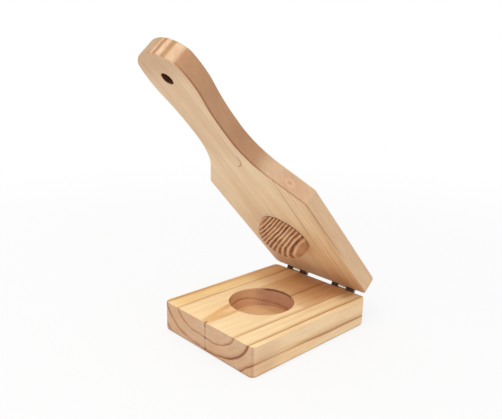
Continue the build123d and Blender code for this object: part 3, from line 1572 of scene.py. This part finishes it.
        # Painted shade in the carved grooves, darker where they are deeper.
        colour = sheet.blend(grooves * (uneven * 0.24 + 0.76), colour, self.late)
        # Painted shade and a glue line at the foot, where the boss meets the lever.
        colour = sheet.blend(height.step(*self.foot_shade) * 0.7, colour, self.late)
        return sheet.finish(
            Base_Color=sheet.shaded(colour, (fibres - 0.5) * 0.3 + 1.0),
            Roughness=0.66 - grooves * 0.08,
            Specular_IOR_Level=0.3,
            Normal=sheet.bumped(fibres, 0.4, 0.15 * MM),
        )


BROWNED = ((0.10, 0.062, 0.05), (0.04, 0.022, 0.017), 0.4)


@dataclass
class Hinges:
    """The two butt hinges with their pins and screws; sizes are in mm, turns in degrees."""

    stations: dict[str, float] = field(default_factory=lambda: {"left": -25.5, "right": 25.5})
    screw_spacing: float = 13.0
    screw_drop: float = 6.8
    screw_turn: float = 37.0
    lever_turn_share: float = 1.7
    leaf_back: float = 1.0
    head_radius: float = 2.2
    head_depth: float = 1.0
    head_land: float = 0.12
    head_faces: int = 36
    shank_radius: float = 1.2
    screw_length: float = 9.0
    point_length: float = 2.5
    point_share: float = 0.12
    cross_reach: float = 1.3
    cross_width: float = 0.3
    cross_depth: float = 0.75
    cross_taper: float = 0.55
    leaf: WornSteel = WornSteel("browned steel", *BROWNED)
    # The lever leaf's steel, with a painted highlight on its knuckle round the pin.
    painted_glint: WornSteel = WornSteel("steel with painted glint", *BROWNED, glint_reach=2.6)
    pin: WornSteel = WornSteel("drawn wire", (0.3, 0.27, 0.25), (0.18, 0.16, 0.14), 0.32)
    screw: WornSteel = WornSteel("plated steel", (0.42, 0.38, 0.31), (0.24, 0.21, 0.17), 0.34)

    def build(self, frame: PressFrame, nodes: dict[str, Object]) -> None:
        """Models the screws and gives the CAD leaves and pins their steels.

        Args:
            frame: Where the hinge axis lies.
            nodes: The frame's nodes.
        """
        steels = {
            "base_leaf": self.leaf.build(frame.pin),
            "lever_leaf": self.painted_glint.build(frame.pin),
            "hinge_pin": self.pin.build(frame.pin),
        }
        for name, node in nodes.items():
            for start, steel in steels.items():
                if name.startswith(start):
                    node.data.materials.clear()
                    node.data.materials.append(steel)
                    LOG.info("%s: %s", name, steel.name)
        plated = self.screw.build(frame.pin)
        turn = 0.0
        for side, hinge_x in self.stations.items():
            for number, reach in ((1, -self.screw_spacing / 2), (2, self.screw_spacing / 2)):
                turn += self.screw_turn
                back = self.leaf_back - frame.pin_setback
                drop = Vector((hinge_x + reach, back, -self.screw_drop))
                seat = Matrix.Translation(frame.pin + drop * MM)
                seat = seat @ Matrix.Rotation(-math.pi / 2, 4, "X")
                self.place_screw(f"base_screw_{side}_{number}", seat, turn, plated, Body.BASE)
                lift = frame.board_gap / 2 - self.screw_drop
                drop = Vector((hinge_x - reach, -self.leaf_back, lift))
                seat = frame.lever() @ Matrix.Translation(drop * MM)
                seat = seat @ Matrix.Rotation(math.pi / 2, 4, "X")
                other = turn * self.lever_turn_share
                self.place_screw(f"lever_screw_{side}_{number}", seat, other, plated, Body.LEVER)

    def place_screw(
        self, name: str, seat: Matrix, turn: float, steel: Material, body: Body
    ) -> None:
        """Models a screw and drives it in.

        Args:
            name: The CAD node that it replaces.
            seat: The middle of its head, with z out of it, in metres.
            turn: How far it's turned, in degrees.
            steel: Its material.
            body: The body that it rides on.
        """
        mesh = self.screw_mesh()
        placing = seat @ Matrix.Rotation(math.radians(turn), 4, "Z")
        Workshop.place(mesh, name + "_driven", placing, steel, body, Slot.SCREW_STEEL, name)

    def screw_mesh(self) -> BMesh:
        """A countersunk screw with a cross in its head and a point.

        Returns:
            The mesh, in mm.
        """
        mesh = bmesh.new()
        land_radius = self.head_radius - self.head_land
        bmesh.ops.create_circle(mesh, cap_ends=False, segments=self.head_faces, radius=land_radius)
        edges = mesh.edges[:]
        long, half = self.cross_reach, self.cross_width
        arm = [(long, -half), (long, half), (half, half)]
        corners = []
        for _ in range(4):
            corners += arm
            arm = [(-y, x) for x, y in arm]
        pen = OutlinePen(mesh, *corners[0])
        for x, y in corners[1:]:
            pen.line_to(x, y)
        pen.close()
        bmesh.ops.bridge_loops(mesh, edges=edges + pen.edges)
        cross = fill(mesh, pen.edges)["faces"]
        sunk = bmesh.ops.extrude_face_region(mesh, geom=cross)
        drop_faces(mesh, [face for face in cross if face.is_valid])
        low = verts_in(sunk["geom"])
        lift(mesh, low, -self.cross_depth)
        bmesh.ops.scale(mesh, verts=low, vec=(self.cross_taper, self.cross_taper, 1.0))
        for radius, height in (
            (self.head_radius, -self.head_land),
            (self.shank_radius, -self.head_depth),
            (self.shank_radius, self.point_length - self.screw_length),
            (self.shank_radius * self.point_share, -self.screw_length),
        ):
            verts, edges = moved_copy(mesh, edges)
            share = radius / verts[0].co.xy.length
            bmesh.ops.scale(mesh, verts=verts, vec=(share, share, 1.0))
            lift(mesh, verts, height - verts[0].co.z)
        fill(mesh, edges)
        bmesh.ops.recalc_face_normals(mesh, faces=mesh.faces[:])
        return mesh


# ---- The studio ----


@dataclass
class Studio:
    """Floor, light and camera; places and sizes are in metres, angles in degrees.

    Attributes:
        azimuth: The camera's bearing, from the front towards the right.
        elevation: How far it looks down.
        lens: Its focal length in mm, for a sensor of that width in mm.
        floor_glow: How white the camera sees the floor near the press, from 0 to 1.
        glow_reach: Where the floor starts to whiten, and where it's white.
    """

    eye: tuple[float, float, float] = (0.29381, -0.29955, 0.21251)
    azimuth: float = 46.325
    elevation: float = 15.425
    roll: float = 1.156
    lens: float = 41.285
    sensor: float = 36.0
    near: float = 0.01
    dome_strength: float = 0.78
    key_power: float = 6.3
    key_size: float = 0.9
    key_place: tuple[float, float, float] = (0.25, -0.70, 1.05)
    key_aim: tuple[float, float, float] = (0.0, 0.0, 0.05)
    floor_colour: Colour = (0.86, 0.855, 0.85)
    white: Colour = (1.0, 1.0, 1.0)
    floor_radius: float = 6.0
    floor_glow: float = 0.78
    glow_reach: tuple[float, float] = (0.16, 0.75)

    def build(self) -> None:
        """Sets up the whole studio."""
        self.floor()
        self.dome()
        self.lamp()
        self.camera()
        bpy.context.scene.view_settings.view_transform = "Standard"

    def floor(self) -> None:
        """Lays the pale floor, which keeps a faint shadow."""
        mesh = bmesh.new()
        bmesh.ops.create_circle(mesh, cap_ends=True, segments=96, radius=self.floor_radius)
        data = bpy.data.meshes.new("studio_floor")
        mesh.to_mesh(data)
        mesh.free()
        sheet = ShaderSheet.of_material("floor paint")
        matte = sheet.add("ShaderNodeBsdfDiffuse", None, {"Color": self.floor_colour})
        bright = sheet.add("ShaderNodeEmission", None, {"Color": self.white, "Strength": 1.0})
        place = sheet.add("ShaderNodeTexCoord").outputs["Object"]
        away = sheet.add("ShaderNodeVectorMath", {"operation": "LENGTH"}, {0: place})
        far = Reading(sheet, away.outputs["Value"]).step(*self.glow_reach)
        glow = self.looked_at(sheet) * (far * (1.0 - self.floor_glow) + self.floor_glow)
        self.mix(sheet, glow, matte, bright, "ShaderNodeOutputMaterial")
        data.materials.append(sheet.owner)
        stand("studio_floor", data)

    def dome(self) -> None:
        """Makes the even light all round, which the camera sees as white."""
        world = bpy.data.worlds.new("studio")
        bpy.context.scene.world = world
        sheet = ShaderSheet(world)
        light, white = (
            sheet.add("ShaderNodeBackground", None, {"Color": self.white, "Strength": strength})
            for strength in (self.dome_strength, 1.0)
        )
        self.mix(sheet, self.looked_at(sheet), light, white, "ShaderNodeOutputWorld")

    @staticmethod
    def mix(sheet: ShaderSheet, share: Reading, first: Node, second: Node, out: str) -> None:
        """Closes a sheet with a mix of two shaders.

        Args:
            sheet: The sheet.
            share: How much of the second shader there is.
            first: The first shader.
            second: The second shader.
            out: The output node's type.
        """
        sockets = {"Fac": share, 1: first.outputs[0], 2: second.outputs[0]}
        mixed = sheet.add("ShaderNodeMixShader", None, sockets)
        sheet.add(out, None, {"Surface": mixed.outputs[0]})

    @staticmethod
    def looked_at(sheet: ShaderSheet) -> Reading:
        """1 for what the camera sees, straight, mirrored or through glass.

        Args:
            sheet: The sheet to write on.

        Returns:
            The reading.
        """
        rays = sheet.add("ShaderNodeLightPath").outputs
        seen = Reading(sheet, rays["Is Camera Ray"])
        seen = seen.maths("MAXIMUM", Reading(sheet, rays["Is Glossy Ray"]))
        return seen.maths("MAXIMUM", Reading(sheet, rays["Is Transmission Ray"]))

    def lamp(self) -> None:
        """Hangs the soft key lamp."""
        lamp = bpy.data.lights.new("key", "AREA")
        lamp.shape = "SQUARE"
        lamp.size = self.key_size
        lamp.energy = self.key_power
        key = stand("key", lamp)
        key.location = self.key_place
        aim = Vector(self.key_aim) - key.location
        key.rotation_euler = aim.to_track_quat("-Z", "Y").to_euler()

    def camera(self) -> None:
        """Stands the camera where the photograph was taken."""
        azimuth, elevation = math.radians(self.azimuth), math.radians(self.elevation)
        level = math.cos(elevation)
        back = Vector((math.sin(azimuth) * level, -math.cos(azimuth) * level, math.sin(elevation)))
        right = Vector((math.cos(azimuth), math.sin(azimuth), 0.0))
        axes = Matrix((right, back.cross(right), back)).transposed()
        turned = axes @ Matrix.Rotation(math.radians(self.roll), 3, "Z")
        data = bpy.data.cameras.new("camera")
        data.sensor_fit = "HORIZONTAL"
        data.sensor_width = self.sensor
        data.lens = self.lens
        data.clip_start = self.near
        camera = stand("camera", data)
        camera.matrix_world = Matrix.Translation(self.eye) @ turned.to_4x4()
        bpy.context.scene.camera = camera


def main() -> None:
    """Builds the press around the frame, then the studio."""
    logging.basicConfig(level=logging.INFO, format="%(name)s: %(message)s")
    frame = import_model()
    place = PressFrame.from_joint(frame["joints"][0])
    BaseBlock().build()
    LeverBoard().build(place)
    PressBoss().build(place)
    Hinges().build(place, frame["nodes"])
    Studio().build()


if __name__ == "__main__":
    main()
